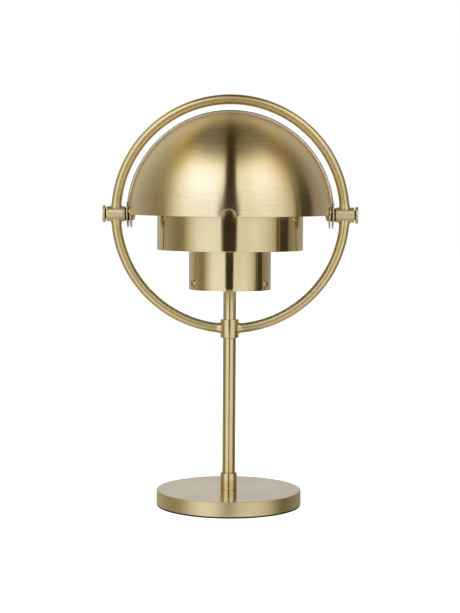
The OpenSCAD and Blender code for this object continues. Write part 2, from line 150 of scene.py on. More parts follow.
def fade(wire, low, high, first=0.0, last=1.0):
    # Goes smoothly from first to last as the wire goes from low to high.
    return wire.node("ShaderNodeMapRange", {"interpolation_type": 'SMOOTHSTEP', "clamp": True},
                     {"Value": wire, "From Min": low, "From Max": high, "To Min": first, "To Max": last})


def tint(wire, colour, factor):
    # Multiplies a plain colour by a number that varies.
    whole = wire.node("ShaderNodeCombineXYZ", None, {0: factor, 1: factor, 2: factor})
    return wire.node("ShaderNodeVectorMath", {"operation": 'MULTIPLY'}, {0: whole, 1: colour[:3]})


def newMaterial(name, settings):
    # A Principled shader with its plain values set; returns it with its coordinates.
    material = bpy.data.materials.new(name)
    material.use_nodes = True
    tree = material.node_tree
    shader = tree.nodes["Principled BSDF"]
    for socket, value in settings.items():
        shader.inputs[socket].default_value = value
    place = Wire(tree, tree.nodes.new("ShaderNodeTexCoord").outputs["Object"])
    return material, shader, place


def feed(shader, socket, wire):
    wire.tree.links.new(wire.out, shader.inputs[socket])


def stretched(place, scale):
    return place.node("ShaderNodeMapping", {"vector_type": 'POINT'},
                      {"Vector": place, "Scale": scale})


def noise(place, scale, detail=2.0, roughness=0.5):
    return place.node("ShaderNodeTexNoise", None,
                      {"Vector": place, "Scale": scale, "Detail": detail, "Roughness": roughness})


def bumped(shader, height, distance, strength=1.0):
    bump = height.node("ShaderNodeBump", None,
                       {"Height": height, "Distance": distance, "Strength": strength})
    feed(shader, "Normal", bump)


brassLook = {
    "colour": (0.80, 0.665, 0.385, 1),
    "tarnish": 0.05,       # how much darker the cloudy places are
    "streak": 0.10,        # how much the brushed lines differ in colour
    "roughness": 0.24,
    "smear": 1.0,          # how far the brushing spreads a reflection across itself
}


def brushedBrass(name, grain=(9, 9, 700), roughness=brassLook["roughness"], flow=None, streak=1.0,
                 colour=brassLook["colour"], smear=brassLook["smear"]):
    # Brass brushed round the middle of its texture space, where reflections smear across the lines.
    # The lines run across the direction in which the grain is finest, on the piece itself or on the
    # map that flow names.
    material, shader, place = newMaterial(name, {
        "Metallic": 1.0, "Anisotropic": smear, "Anisotropic Rotation": 0.25})
    along = place
    if flow:
        along = place.node("ShaderNodeUVMap", {"uv_map": flow})
    lines = noise(stretched(along, grain), 1.0, 3.0, 0.6)
    hair = noise(stretched(along, [step * 2.7 for step in grain]), 1.0, 2.0)
    cloud = noise(place, 11.0, 3.0, 0.55)
    spots = fade(noise(place, 150.0, 2.0), 0.66, 0.78)
    level = 1 - fade(cloud, 0.35, 0.75) * brassLook["tarnish"]
    level = level + (lines - 0.5) * (brassLook["streak"] * streak) + (hair - 0.5) * 0.05
    level = level - spots * 0.03
    feed(shader, "Base Color", tint(level, colour, level))
    feed(shader, "Roughness", roughness + (lines - 0.5) * (0.05 * streak) + fade(cloud, 0.3, 0.8) * 0.02)
    bumped(shader, lines * 0.6 + hair * 0.4, 0.000004 * streak)
    return material


def satinBrass(name, colour, roughness=0.24, scale=1.0):
    # Brass turned or drawn and then satin finished, with no strong direction.
    material, shader, place = newMaterial(name, {"Metallic": 1.0})
    fine = noise(place, 900.0 * scale, 3.0, 0.6)
    cloud = noise(place, 28.0 * scale, 3.0)
    level = 1 - fade(cloud, 0.4, 0.75) * 0.12 + (fine - 0.5) * 0.08
    feed(shader, "Base Color", tint(level, colour, level))
    feed(shader, "Roughness", roughness + (fine - 0.5) * 0.08 + fade(cloud, 0.3, 0.8) * 0.04)
    bumped(shader, fine, 0.00001)
    return material


def whiteLacquer(name):
    # The sprayed white inside the shades, with a slight orange peel.
    material, shader, place = newMaterial(name, {"Coat Roughness": 0.25, "Coat Weight": 0.2})
    peel = noise(place, 420.0, 2.0)
    dust = noise(place, 30.0, 4.0, 0.6)
    level = 1 - fade(dust, 0.45, 0.8) * 0.05
    feed(shader, "Base Color", tint(level, (0.92, 0.915, 0.89), level))
    feed(shader, "Roughness", 0.42 + (peel - 0.5) * 0.1)
    bumped(shader, peel, 0.00003)
    return material


def plainMetal(name, colour, roughness, grain=(60, 60, 60), patchy=0.12):
    material, shader, place = newMaterial(name, {"Metallic": 1.0})
    fine = noise(stretched(place, (grain[0] * 20, grain[1] * 20, grain[2] * 20)), 1.0, 3.0, 0.6)
    cloud = noise(place, 45.0, 3.0)
    level = 1 - fade(cloud, 0.35, 0.75) * patchy + (fine - 0.5) * 0.1
    feed(shader, "Base Color", tint(level, colour, level))
    feed(shader, "Roughness", roughness + (fine - 0.5) * 0.12)
    bumped(shader, fine, 0.00002)
    return material


def moulded(name, colour, roughness, texture=600.0, depth=0.00003, coat=0.0, gloss=0.5):
    # Plastic, rubber or fibre: a fine moulded surface, a little dusty.
    material, shader, place = newMaterial(name, {
        "Coat Weight": coat, "Coat Roughness": 0.2, "Specular IOR Level": gloss})
    fine = noise(place, texture, 3.0, 0.6)
    dust = fade(noise(place, 60.0, 4.0, 0.6), 0.5, 0.8)
    level = 1 + (fine - 0.5) * 0.25 + dust * 0.3
    feed(shader, "Base Color", tint(level, colour, level))
    feed(shader, "Roughness", roughness + (fine - 0.5) * 0.15)
    bumped(shader, fine, depth)
    return material


def opalGlass(name):
    material, shader, place = newMaterial(name, {
        "IOR": 1.5, "Subsurface Weight": 0.3, "Subsurface Scale": 0.01,
        "Coat Weight": 0.6, "Coat Roughness": 0.08})
    milk = noise(place, 55.0, 3.0)
    level = 1 - fade(milk, 0.4, 0.8) * 0.04
    feed(shader, "Base Color", tint(level, (0.9, 0.885, 0.85), level))
    feed(shader, "Roughness", 0.16 + (milk - 0.5) * 0.08)
    return material


finish = {
    "brass": brushedBrass("brass", colour=(0.69, 0.57, 0.305, 1)),
    "dome_brass": brushedBrass("domeBrass", (10, 300, 1), 0.20, "brushing", 3.2),
    "cylinder_brass": brushedBrass("cylinderBrass", (6, 6, 900), 0.11, colour=(0.70, 0.585, 0.325, 1)),
    "hoop_brass": satinBrass("hoopBrass", (0.73, 0.58, 0.285, 1), 0.31, 0.5),
    "fastener_brass": satinBrass("fastenerBrass", (0.68, 0.55, 0.28, 1), 0.22, 1.6),
    "turned_brass": brushedBrass("turnedBrass", (900, 60, 60), 0.42, smear=0.0),
    "base_side": satinBrass("baseSide", (0.69, 0.57, 0.30, 1), 0.37, 0.6),
    # painted light: the top face's brass is paler and lighter than the side's to stand in for the brighter
    # reflection on top; only its lower roughness is a real finish
    "base_top": satinBrass("baseTop", (0.86, 0.73, 0.50, 1), 0.13, 0.6),
    "pad_rubber": moulded("padRubber", (0.006, 0.006, 0.006), 0.9, gloss=0.05),
    "washer_black": moulded("washerFibre", (0.018, 0.017, 0.016), 0.6),
    "zinc_steel": plainMetal("zincSteel", (0.55, 0.56, 0.57), 0.32),
    "weight_iron": plainMetal("castIron", (0.17, 0.165, 0.16), 0.55, patchy=0.3),
    "gland_black": moulded("glandPlastic", (0.025, 0.025, 0.026), 0.5),
    "holder_black": moulded("holderPlastic", (0.028, 0.027, 0.027), 0.3, 300.0, 0.00002, 0.3),
    "white_plastic": moulded("whitePlastic", (0.78, 0.77, 0.73), 0.45),
    "white_ceramic": moulded("ceramic", (0.82, 0.81, 0.77), 0.25, 250.0, 0.00002, 0.5),
    "bulb_metal": plainMetal("bulbMetal", (0.72, 0.71, 0.69), 0.24),
    "opal_glass": opalGlass("opalGlass"),
    "lead_sheath": moulded("leadSheath", (0.03, 0.03, 0.03), 0.55),
}
lacquer = whiteLacquer("whiteLacquer")
print("finishes made:", len(finish) + 1)


def pick(piece):
    bpy.ops.object.select_all(action='DESELECT')
    piece.select_set(True)
    bpy.context.view_layer.objects.active = piece


def edit(piece):
    pick(piece)
    bpy.ops.object.mode_set(mode='EDIT')


def endEdit():
    bpy.ops.object.mode_set(mode='OBJECT')


def middle(part):
    if isinstance(part, bmesh.types.BMVert):
        return part.co
    if isinstance(part, bmesh.types.BMEdge):
        return (part.verts[0].co + part.verts[1].co) / 2
    return part.calc_center_median()


def atHeight(part, *heights):
    return min(abs(middle(part).z - height) for height in heights) < 0.000001


def choose(kind, test):
    # Selects the points, edges or faces of the piece in edit mode that pass the test.
    bpy.ops.mesh.select_mode(type=kind)
    bpy.ops.mesh.select_all(action='DESELECT')
    data = bpy.context.object.data
    mesh = bmesh.from_edit_mesh(data)
    parts = {'VERT': mesh.verts, 'EDGE': mesh.edges, 'FACE': mesh.faces}[kind]
    for part in parts:
        if test(part):
            part.select_set(True)
    mesh.select_flush_mode()
    bmesh.update_edit_mesh(data)


def named(name):
    piece = bpy.context.object
    piece.name = name
    piece.data.name = name
    return piece


def settle(piece, location=(0, 0, 0), rotation=(0, 0, 0)):
    # Moves a piece to its place and puts that place into its mesh.
    pick(piece)
    piece.location = Vector(location) + piece.location
    piece.rotation_euler = rotation
    bpy.ops.object.transform_apply(location=True, rotation=True, scale=True)
    return piece


def applyModifier(piece, modifier):
    pick(piece)
    bpy.ops.object.modifier_apply(modifier=modifier.name)


def carve(piece, cutter, operation='DIFFERENCE'):
    cut = piece.modifiers.new("carve", 'BOOLEAN')
    cut.object = cutter
    cut.operation = operation
    cut.solver = 'EXACT'
    applyModifier(piece, cut)
    bpy.data.objects.remove(cutter)


def thicken(piece, wall, insideSlot=0, rimSlot=0):
    # Gives a surface a wall on its inner side.
    shell = piece.modifiers.new("wall", 'SOLIDIFY')
    shell.thickness = wall
    shell.offset = -1
    shell.use_even_offset = True
    shell.material_offset = insideSlot
    shell.material_offset_rim = rimSlot
    applyModifier(piece, shell)


def roundEdges(piece, width, slot=-1):
    soft = piece.modifiers.new("edges", 'BEVEL')
    soft.material = slot
    soft.width = width
    soft.segments = 2
    soft.limit_method = 'ANGLE'
    soft.angle_limit = radians(60)
    soft.use_clamp_overlap = True
    applyModifier(piece, soft)


def smooth(piece, angle=32):
    pick(piece)
    bpy.ops.object.shade_smooth_by_angle(angle=radians(angle))


def dress(piece, body, nodes, slotName, material=None, second=None):
    # Gives a finished piece its finish, its body and the CAD nodes it stands for.
    piece.data.materials.clear()
    piece.data.materials.append(material or finish[slotName])
    if second:
        piece.data.materials.append(second)
    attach(piece, body)
    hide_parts(*nodes)
    return piece


def rod(name, radius, low, high, edge=0.0, sides=96, segments=3):
    # An upright round bar with rounded rims.
    bpy.ops.mesh.primitive_cylinder_add(vertices=sides, radius=radius, depth=high - low,
                                        location=(0, 0, (low + high) / 2))
    piece = named(name)
    settle(piece)
    if edge:
        edit(piece)
        choose('EDGE', lambda e: atHeight(e, low, high))
        bpy.ops.mesh.bevel(offset=edge, segments=segments, affect='EDGES')
        endEdit()
    return piece


def ring(name, inner, outer, low, high, edge=0.0002, steps=96, segments=2):
    # A flat section beside the upright axis, its corners rounded, spun into a ring.
    bpy.ops.mesh.primitive_plane_add(size=1, rotation=(pi / 2, 0, 0),
                                     location=((inner + outer) / 2, 0, (low + high) / 2))
    piece = named(name)
    piece.scale = (outer - inner, high - low, 1)
    bpy.ops.object.transform_apply(location=True, rotation=True, scale=True)
    edit(piece)
    if edge:
        bpy.ops.mesh.select_all(action='SELECT')
        bpy.ops.mesh.bevel(offset=edge, segments=segments, affect='VERTICES')
    spinSection(2 * pi, steps, (0, 0, 0), (0, 0, 1))
    endEdit()
    return piece


def spinSection(angle, steps, centre, axis):
    # Spins the outline of the section that is being edited.
    bpy.ops.mesh.select_all(action='SELECT')
    bpy.ops.mesh.delete(type='ONLY_FACE')
    bpy.ops.mesh.select_all(action='SELECT')
    bpy.ops.mesh.spin(steps=steps, angle=angle, center=centre, axis=axis)
    bpy.ops.mesh.select_all(action='SELECT')
    bpy.ops.mesh.remove_doubles(threshold=0.000002)
    bpy.ops.mesh.normals_make_consistent(inside=False)


def copyOf(piece, name):
    pick(piece)
    bpy.ops.object.duplicate()
    return named(name)


def otherSide(piece, name):
    # A mirror image across the plane of the stem, with a mesh of its own.
    twin = copyOf(piece, name)
    edit(twin)
    bpy.ops.mesh.select_all(action='SELECT')
    bpy.ops.transform.resize(value=(-1, 1, 1), center_override=(0, 0, 0))
    bpy.ops.mesh.flip_normals()
    endEdit()
    return twin


def turned(piece, angle, centre=(0, 0, 0), axis='Z'):
    # Turns the points of a piece about a line; the operator counts the other way with no window.
    edit(piece)
    bpy.ops.mesh.select_all(action='SELECT')
    bpy.ops.transform.rotate(value=-radians(angle), orient_axis=axis, center_override=centre)
    endEdit()
    return piece


def joined(pieces, name):
    pick(pieces[0])
    for piece in pieces:
        piece.select_set(True)
    bpy.ops.object.join()
    return named(name)


def onPivot(piece, x):
    # Lays an upright piece along the left of the pivot line, its foot at x, pointing outwards.
    return settle(piece, (-x, 0, pivotZ), (0, -pi / 2, 0))


def bothPoles(piece, name):
    # One piece made of a piece at the left pole and its mirror image at the right one.
    return joined([piece, otherSide(piece, "twin")], name)


base = {
    "radius": furthest("base_shell", "x"),
    "padRadius": furthest("foot_pad", "x"),
    "sides": 256,
    "wall": 0.0015,
    "edge": 0.0008,
    "padEdge": 0.0003,
    "topRings": (0.0025, 0.012, 0.03, 0.03),   # widths of the rings of faces on the top, from its edge
    "glandRadius": 0.005,
}


def addBase():
    low, high = span("base_shell", "z")
    shell = rod("baseShell", base["radius"], low, high, 0, base["sides"])
    edit(shell)
    choose('FACE', lambda f: f.normal.z < -0.9)
    bpy.ops.mesh.delete(type='FACE')
    choose('EDGE', lambda e: atHeight(e, high))
    bpy.ops.mesh.bevel(offset=base["edge"], segments=4, affect='EDGES')
    choose('FACE', lambda f: f.normal.z > 0.9999)
    for width in base["topRings"]:
        bpy.ops.mesh.inset(thickness=width)
    endEdit()
    thicken(shell, base["wall"])
    glandZ = sum(span("cord_gland", "z")) / 2
    bpy.ops.mesh.primitive_cylinder_add(vertices=48, radius=base["glandRadius"], depth=0.02,
                                        location=(0, base["radius"], glandZ), rotation=(pi / 2, 0, 0))
    carve(shell, bpy.context.object)
    smooth(shell, 40)
    dress(shell, "stand", ["base_shell"], "brass", finish["base_side"], finish["base_top"])
    # The flat top faces take the second slot, the lighter brass that paints light onto the top face.
    edit(shell)
    choose('FACE', lambda f: f.normal.z > 0.999 and middle(f).z > high - 0.0001)
    shell.active_material_index = 1
    bpy.ops.object.material_slot_assign()
    endEdit()
    pad = rod("footPad", base["padRadius"], 0, low, base["padEdge"], base["sides"], 2)
    smooth(pad, 40)
    dress(pad, "stand", ["foot_pad"], "pad_rubber")


addBase()
print("base made")


stem = {
    "radius": furthest("stem_tube", "x"),
    "bore": 0.005,
    "collarEdge": 0.0006,
    "screwRadius": 0.002,
}


def addStem():
    low, high = span("stem_tube", "z")
    tube = ring("stemTube", stem["bore"], stem["radius"], low, high)
    smooth(tube)
    dress(tube, "stand", ["stem_tube"], "brass")
    for name, node in (("footCollar", "foot_collar"), ("hoopCollar", "hoop_collar")):
        low, high = span(node, "z")
        radius = furthest(node, "x")
        collar = ring(name, stem["radius"], radius, low, high, stem["collarEdge"], segments=3)
        # the grub screw's hole, in the back
        bpy.ops.mesh.primitive_cylinder_add(vertices=32, radius=stem["screwRadius"], depth=0.01,
                                            location=(0, 0.012, (low + high) / 2),
                                            rotation=(pi / 2, 0, 0))
        carve(collar, bpy.context.object)
        smooth(collar, 36)
        dress(collar, "stand", [node], "brass", finish["fastener_brass"])


addStem()
print("stem made")


hoop = {
    "radius": sum(span("pivot_boss_right", "x")) / 2,   # of the tube's centre line
    "tube": 0.006,
    "bossRadius": furthest("pivot_boss_right", "y"),
    "collarRadius": furthest("hoop_collar", "x"),
    "flare": 1.16,         # how much wider the braze is at a boss or collar
    "flareLength": 0.006,
    "flareCurve": 2.4,     # how hollow the braze is
    "endZone": 0.05,       # the points this near an end belong to it
}


def flareEnd(arc, direction, gap, along):
    # Widens the tube towards a joint, as the braze does, in a hollow curve.
    point = Vector((0, 0, pivotZ)) + Vector((cos(direction), 0, sin(direction))) * hoop["radius"]
    edit(arc)
    mesh = bmesh.from_edit_mesh(arc.data)
    for vert in mesh.verts:
        away = abs((vert.co - point).dot(along))
        if (vert.co - point).length > hoop["endZone"]:
            continue
        left = 1 - max(away - gap, 0) / hoop["flareLength"]
        if left > 0:
            angle = atan2(vert.co.z - pivotZ, vert.co.x)
            spine = Vector((cos(angle) * hoop["radius"], 0, pivotZ + sin(angle) * hoop["radius"]))
            vert.co = spine + (vert.co - spine) * (1 + (hoop["flare"] - 1) * left ** hoop["flareCurve"])
    bmesh.update_edit_mesh(arc.data)
    endEdit()


def hoopArc(name, start, angle):
    centre = Vector((0, 0, pivotZ))
    bpy.ops.mesh.primitive_circle_add(vertices=40, radius=hoop["tube"], fill_type='NOTHING',
                                      location=(hoop["radius"], 0, pivotZ))
    arc = named(name)
    settle(arc)
    edit(arc)
    bpy.ops.mesh.select_all(action='SELECT')
    steps = int(angle / pi * 260)
    bpy.ops.mesh.spin(steps=steps, angle=angle, center=centre, axis=(0, 1, 0))
    endEdit()
    if start:
        turned(arc, -start, centre, 'Y')
    edit(arc)
    choose('EDGE', lambda e: e.is_boundary)
    bpy.ops.mesh.edge_face_add()
    bpy.ops.mesh.select_all(action='SELECT')
    bpy.ops.mesh.normals_make_consistent(inside=False)
    endEdit()
    return arc


def bossSpace(sign):
    space = rod("bossSpace", hoop["bossRadius"], -0.02, 0.02, 0, 96)
    return settle(space, (sign * hoop["radius"], 0, pivotZ), (0, pi / 2, 0))


def addHoop():
    upright, level = Vector((0, 0, 1)), Vector((1, 0, 0))
    top = hoopArc("hoopTop", 0, pi)
    flareEnd(top, 0, hoop["bossRadius"], upright)
    flareEnd(top, pi, hoop["bossRadius"], upright)
    right = hoopArc("hoopLowerRight", -90, pi / 2)
    flareEnd(right, 0, hoop["bossRadius"], upright)
    flareEnd(right, -pi / 2, hoop["collarRadius"], level)
    for sign in (-1, 1):
        carve(top, bossSpace(sign))
    carve(right, bossSpace(1))
    low, high = span("hoop_collar", "z")
    space = rod("collarSpace", hoop["collarRadius"], low - hoop["tube"], high + hoop["tube"], 0, 128)
    carve(right, space)
    left = otherSide(right, "hoopLowerLeft")
    for piece, node in ((top, "hoop_top"), (right, "hoop_lower_right"), (left, "hoop_lower_left")):
        smooth(piece, 60)
        dress(piece, "stand", [node], "hoop_brass")


addHoop()
print("hoop made")


pivot = {
    "bossRadius": hoop["bossRadius"],
    "bossEdge": 0.0006,
    "grooveFrom": 0.0024,  # from each end of the boss
    "grooveWidth": 0.0005,
    "grooveDepth": 0.0003,
    "boltRadius": 0.004,
    "boltTip": 0.0003,
    "capRadius": furthest("pivot_bolt_right", "z") - pivotZ,
    "capEdge": 0.0007,
    "capRim": 0.0014,      # the flat ring round the dish
    "dishWall": 0.0005,
    "dishDepth": 0.00035,
    "dishRing": 0.003,
    "spacerRadius": furthest("cap_spacers", "z") - pivotZ,
    "washerRadius": furthest("boss_washers", "z") - pivotZ,
    "washerThick": 0.00165,
    "washerEdge": 0.00015,
    "nutAcross": 0.017,
    "nutThick": 0.0032,
    "nutChamfer": 0.0009,
}


def bossPiece(name):
    start, end = span("pivot_boss_right", "x")
    length = end - start
    boss = ring(name, pivot["boltRadius"], pivot["bossRadius"], 0, length, pivot["bossEdge"], segments=3)
    edit(boss)
    for height in (pivot["grooveFrom"], length - pivot["grooveFrom"]):
        for line in (height - pivot["grooveWidth"] / 2, height + pivot["grooveWidth"] / 2):
            bpy.ops.mesh.select_all(action='SELECT')
            bpy.ops.mesh.bisect(plane_co=(0, 0, line), plane_no=(0, 0, 1))
        outer = pivot["bossRadius"] * 0.9
        choose('FACE', lambda f: atHeight(f, height) and middle(f).xy.length > outer)
        bpy.ops.mesh.inset(thickness=0.00008)
        shrink = 1 - pivot["grooveDepth"] / pivot["bossRadius"]
        bpy.ops.transform.resize(value=(shrink, shrink, 1), center_override=(0, 0, height))
    endEdit()
    smooth(boss, 36)
    return onPivot(boss, start)


def boltPiece(name):
    # The cap and its bolt, one turned part: rounded rim, a shallow dish in the face.
    end, capEnd = span("pivot_bolt_right", "x")
    capStart = furthest("cap_spacers", "x")
    bolt = rod(name, pivot["capRadius"], 0, capEnd - capStart, pivot["capEdge"], 96, 4)
    edit(bolt)
    choose('FACE', lambda f: f.normal.z > 0.9999)
    bpy.ops.mesh.inset(thickness=pivot["capRim"])
    bpy.ops.mesh.inset(thickness=pivot["dishWall"], depth=-pivot["dishDepth"])
    bpy.ops.mesh.inset(thickness=pivot["dishRing"])
    choose('FACE', lambda f: f.normal.z < -0.9999)
    bpy.ops.mesh.inset(thickness=pivot["capRadius"] - pivot["capEdge"] - pivot["boltRadius"])
    for length in (capStart - end - pivot["boltTip"], pivot["boltTip"]):
        bpy.ops.mesh.extrude_region_move(TRANSFORM_OT_translate={"value": (0, 0, -length)})
    bpy.ops.transform.resize(value=(0.92, 0.92, 1))
    endEdit()
    smooth(bolt, 36)
    return onPivot(bolt, capStart)


def nutPiece(name):
    # A hexagon whose corners are turned down by a cone on both faces.
    radius, thick = pivot["nutAcross"] / 2, pivot["nutThick"]
    nut = rod(name, radius, 0, thick, 0, 6)
    form = rod("nutForm", radius, 0, thick, pivot["nutChamfer"], 96, 1)
    carve(nut, form, 'INTERSECT')
    bpy.ops.mesh.primitive_cylinder_add(vertices=96, radius=pivot["boltRadius"], depth=0.02)
    carve(nut, bpy.context.object)
    smooth(nut, 30)
    return onPivot(nut, furthest("pivot_nuts", "x") - thick)


def addPivots():
    left = bossPiece("pivotBoss_left"), boltPiece("pivotBolt_left")
    right = otherSide(left[0], "pivotBoss_right"), otherSide(left[1], "pivotBolt_right")
    for side, (boss, bolt) in (("left", left), ("right", right)):
        dress(boss, "stand", ["pivot_boss_" + side], "fastener_brass", finish["turned_brass"])
        dress(bolt, "stand", ["pivot_bolt_" + side], "fastener_brass", finish["turned_brass"])
    spacerThick = furthest("cap_spacers", "x") - furthest("pivot_boss_right", "x")
    kinds = (
        ("capSpacers", "cap_spacers", pivot["spacerRadius"], spacerThick),
        ("bossWashers", "boss_washers", pivot["washerRadius"], pivot["washerThick"]),
        ("shadeWashers", "shade_washers", pivot["washerRadius"], pivot["washerThick"]),
    )
    for name, node, radius, thick in kinds:
        one = ring(name, pivot["boltRadius"], radius, 0, thick, pivot["washerEdge"], 72)
        washers = bothPoles(onPivot(one, furthest(node, "x") - thick), name)
        smooth(washers, 36)
        dress(washers, "stand", [node], "washer_black")
    nuts = bothPoles(nutPiece("pivotNuts"), "pivotNuts")
    dress(nuts, "stand", ["pivot_nuts"], "fastener_brass")


addPivots()
print("pivots made")


dome = {
    "wall": 0.001,
    "frontRadius": 0.1243,
    "rearRadius": furthest("rear_shade", "z") - pivotZ,
    "frontFlatX": furthest("front_shade", "x"),
    "rearFlatX": furthest("rear_shade", "x"),
    "frontHole": 0.005,    # radius of the hole in the flat at each pole
    "rearHole": 0.0084,
    "notch": 0.0089,
    "lean": 0.9,           # degrees that the front half hangs back
    "reliefX": span("front_ear_right", "x")[0],
    "reliefHeight": 0.00985,
    "reliefCut": (0.05, 0.12, 0.05),   # the block that the relief is cut with
    "rim": 0.00025,
    "notchBevel": 0.0007,
}


def domeOutline(name, radius, flatX, hole, reach):
    # A half circle whose two ends run straight in to the holes at the poles.
    bpy.ops.mesh.primitive_circle_add(vertices=480, radius=radius, fill_type='NOTHING',
                                      location=(0, 0, pivotZ))
    outline = named(name)
    settle(outline)
    edit(outline)
    flatRadius = (radius ** 2 - flatX ** 2) ** 0.5
    choose('VERT', lambda v: v.co.y * reach < flatRadius * 1.0001)
    bpy.ops.mesh.delete(type='VERT')
    for sign in (-1, 1):
        mesh = bmesh.from_edit_mesh(outline.data)
        last = [v for v in mesh.verts if len(v.link_edges) == 1 and v.co.x * sign > 0][0]
        last.co = (sign * flatX, reach * flatRadius, pivotZ)
        bpy.ops.mesh.select_all(action='DESELECT')
        last.select_set(True)
        bmesh.update_edit_mesh(outline.data)
        before = flatRadius
        for stop in (flatRadius * 0.985, (flatRadius + hole) / 2, hole):
            move = (0, reach * (stop - before), 0)
            bpy.ops.mesh.extrude_region_move(TRANSFORM_OT_translate={"value": move})
            before = stop
    endEdit()
    return outline


def domeShell(name, radius, flatX, hole, front):
    # The outline swept through a quarter turn about the pivot line, then its wall and the notch.
    centre = Vector((0, 0, pivotZ))
    reach = -1 if front else 1
    shell = domeOutline(name, radius, flatX, hole, reach)
    edit(shell)
    bpy.ops.mesh.select_all(action='SELECT')
    bpy.ops.mesh.spin(steps=100, angle=pi / 2, center=centre, axis=(-reach, 0, 0))
    bpy.ops.mesh.select_all(action='SELECT')
    bpy.ops.mesh.remove_doubles(threshold=0.000002)
    bpy.ops.mesh.normals_make_consistent(inside=False)
    mesh = bmesh.from_edit_mesh(shell.data)
    outward = sum(f.normal.dot(f.calc_center_median() - centre) for f in list(mesh.faces)[::97])
    if outward < 0:
        bpy.ops.mesh.flip_normals()
    endEdit()
    shell.data.materials.append(finish["dome_brass"])
    shell.data.materials.append(lacquer)
    thicken(shell, dome["wall"], 1, 0 if front else 1)
    bpy.ops.mesh.primitive_cylinder_add(vertices=128, radius=dome["notch"], depth=0.08,
                                        location=(0, reach * radius, pivotZ), rotation=(pi / 2, 0, 0))
    carve(shell, bpy.context.object)
    if front:
        softNotch(shell, centre)
    return shell


def softNotch(shell, centre):
    # The stem's notch has a wider bevel on the outside, which shows as a bright line.
    edit(shell)
    outside = dome["frontRadius"] - 0.0002
    choose('EDGE', lambda e: e.calc_face_angle(0) > 1 and (middle(e) - centre).length > outside
           and abs((middle(e) - centre).xz.length - dome["notch"]) < 0.0001)
    bpy.ops.mesh.bevel(offset=dome["notchBevel"], segments=4, affect='EDGES')
    endEdit()


def brushLines(shell):
    # A map of the degrees round the upright axis, as the brushing goes, and of the height in degrees.
    # The texture space is centred on that axis too, so reflections smear across the brushing.
    shell.data.use_auto_texspace = False
    shell.data.texspace_location = (0, 0, pivotZ)
    shell.data.texspace_size = (dome["rearRadius"], dome["rearRadius"], dome["rearRadius"])
    layer = shell.data.uv_layers.new(name="brushing")
    for corner in shell.data.loops:
        place = shell.data.vertices[corner.vertex_index].co
        around = atan2(place.x, abs(place.y) + 1e-5)
        above = atan2(place.z - pivotZ, place.xy.length + 1e-5)
        layer.data[corner.index].uv = (around / pi + 0.5, above / pi + 0.5)


def cutRelief(shell, sign):
    # The front rim is cut away beside a pole, up to the hood.
    wide, deep, tall = dome["reliefCut"]
    spot = (sign * (dome["reliefX"] + wide / 2), -0.05, pivotZ + dome["reliefHeight"] - tall / 2)
    bpy.ops.mesh.primitive_cube_add(size=1, location=spot)
    cutter = bpy.context.object
    cutter.scale = (wide, deep, tall)
    carve(shell, cutter)


def addDome():
    front = domeShell("frontShade", dome["frontRadius"], dome["frontFlatX"], dome["frontHole"], True)
    for sign in (-1, 1):
        cutRelief(front, sign)
    turned(front, dome["lean"], (0, 0, pivotZ), 'X')
    rear = domeShell("rearShade", dome["rearRadius"], dome["rearFlatX"], dome["rearHole"], False)
    halves = ((front, "front_half", "front_shade", 0), (rear, "rear_half", "rear_shade", 1))
    for shell, body, node, rimSlot in halves:
        roundEdges(shell, dome["rim"], rimSlot)
        brushLines(shell)
        smooth(shell, 34)
        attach(shell, body)
        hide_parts(node)


addDome()
print("dome made")


ear = {
    "radius": furthest("rear_ear_right", "y"),
    "thick": 0.0012,
    "hub": 0.008,
    "bore": 0.00405,
    "hoodInner": 0.00885,
    "hoodOuter": 0.00955,
    "hoodTo": furthest("front_ear_right", "x"),
}


def earDisc(name, flatX):
    # A disc inside the dome's flat, with a hub as thick as the dome's wall in the hole.
    disc = ring(name, ear["bore"], ear["radius"], 0, ear["thick"])
    hub = ring("hub", ear["bore"], ear["hub"], ear["thick"], ear["thick"] + dome["wall"])
    return onPivot(joined([disc, hub], name), flatX - dome["wall"] - ear["thick"])


def hoodPiece():
    # A quarter of a thin tube round the pivot line, over the relief in the front rim.
    start, end = dome["reliefX"], ear["hoodTo"]
    inner, outer = ear["hoodInner"], ear["hoodOuter"]
    spot = (-(start + end) / 2, -(inner + outer) / 2, pivotZ)
    bpy.ops.mesh.primitive_plane_add(size=1, location=spot)
    hood = named("hood")
    hood.scale = (end - start, outer - inner, 1)
    bpy.ops.object.transform_apply(location=True, rotation=True, scale=True)
    edit(hood)
    bpy.ops.mesh.select_all(action='SELECT')
    bpy.ops.mesh.spin(steps=24, angle=pi / 2, center=(0, 0, pivotZ), axis=(1, 0, 0))
    bpy.ops.mesh.select_all(action='SELECT')
    bpy.ops.mesh.normals_make_consistent(inside=False)
    endEdit()
    return hood


def addEars():
    front = joined([earDisc("frontEar_left", dome["frontFlatX"]), hoodPiece()], "frontEar_left")
    turned(front, dome["lean"], (0, 0, pivotZ), 'X')
    smooth(front, 36)
    rear = earDisc("rearEar_left", dome["rearFlatX"])
    smooth(rear, 36)
    left = front, rear
    right = otherSide(front, "frontEar_right"), otherSide(rear, "rearEar_right")
    for side, (front, rear) in (("left", left), ("right", right)):
        dress(front, "front_half", ["front_ear_" + side], "fastener_brass")
        dress(rear, "rear_half", ["rear_ear_" + side], "fastener_brass")


addEars()
print("ears made")


cylinders = {
    "wall": 0.001,
    "edge": 0.0002,
    "cuts": (0.02, 0.2, 0.4, 0.6, 0.8, 0.98),   # across the tube, as shares of its height
    "screwAngles": (-60, 60, 180),
    "screwRadius": 0.002,
    "screwLength": 0.0046,
    "headRadius": 0.004,
    "headHeight": 0.0022,
    "headSunk": 0.0004,
    "headEdge": 0.0009,
    "socketRadius": 0.0018,
    "socketDepth": 0.0012,
}


